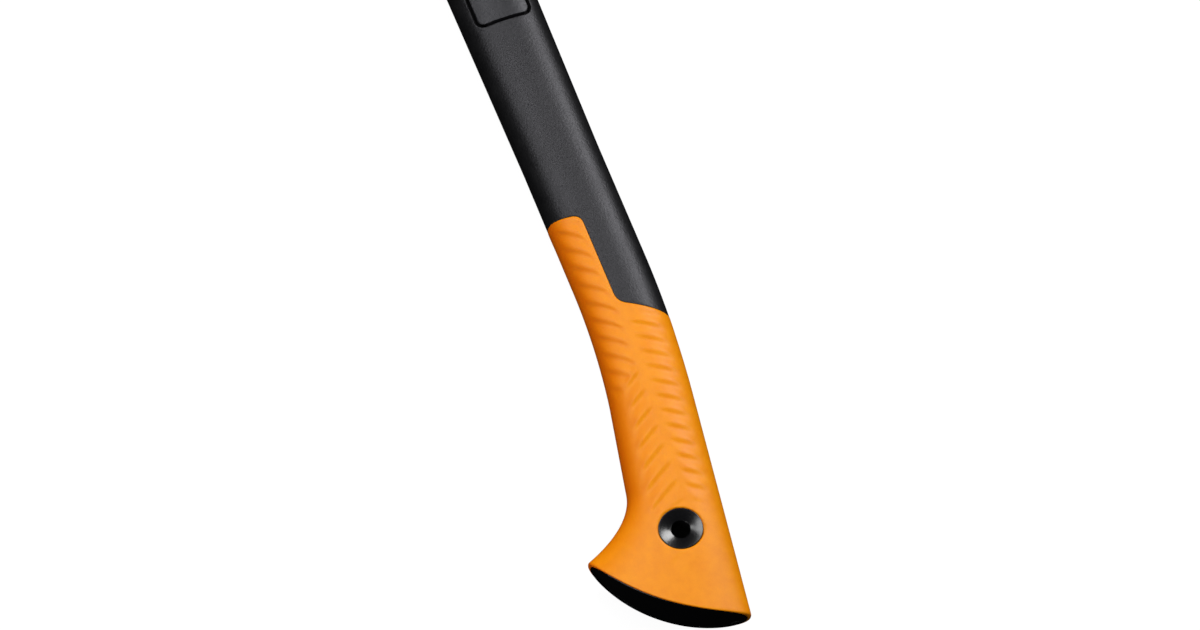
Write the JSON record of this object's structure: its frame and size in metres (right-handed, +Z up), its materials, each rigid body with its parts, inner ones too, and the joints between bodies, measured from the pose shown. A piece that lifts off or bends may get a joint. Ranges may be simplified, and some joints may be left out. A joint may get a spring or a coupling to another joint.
{
  "type": "felling axe",
  "caption": "Felling axe with a forged steel head, a hollow composite handle moulded round it, a soft two-sided grip and a hanging eyelet in the hooked butt.",
  "frame": {"origin": "middle of the axe's bounding box, on the surface that it lies on", "axes": "+X up the handle towards the head, +Y the way the cutting edge faces, +Z up, the axe lying flat on its side"},
  "size_m": [0.6672, 0.172, 0.032],
  "materials": {
    "coated_steel": "low-friction black coating, bright ground bevel at the edge",
    "glass_fibre_composite": "fine moulded grain, dark grey",
    "soft_grip_rubber": "matte orange, soft ridged relief",
    "black_cap_plastic": "satin black",
    "gloss_black_plastic": "glossy black",
    "label_plastic": "smooth satin, dark grey, blank"
  },
  "bodies": {
    "root": {"axe_head": "coated_steel", "handle_shell": "glass_fibre_composite", "soft_grip": "soft_grip_rubber", "butt_cap": "black_cap_plastic", "eyelet_front": "gloss_black_plastic", "eyelet_back": "gloss_black_plastic", "label_plate_front": "label_plastic", "label_plate_back": "label_plastic"}
  },
  "joints": []
}
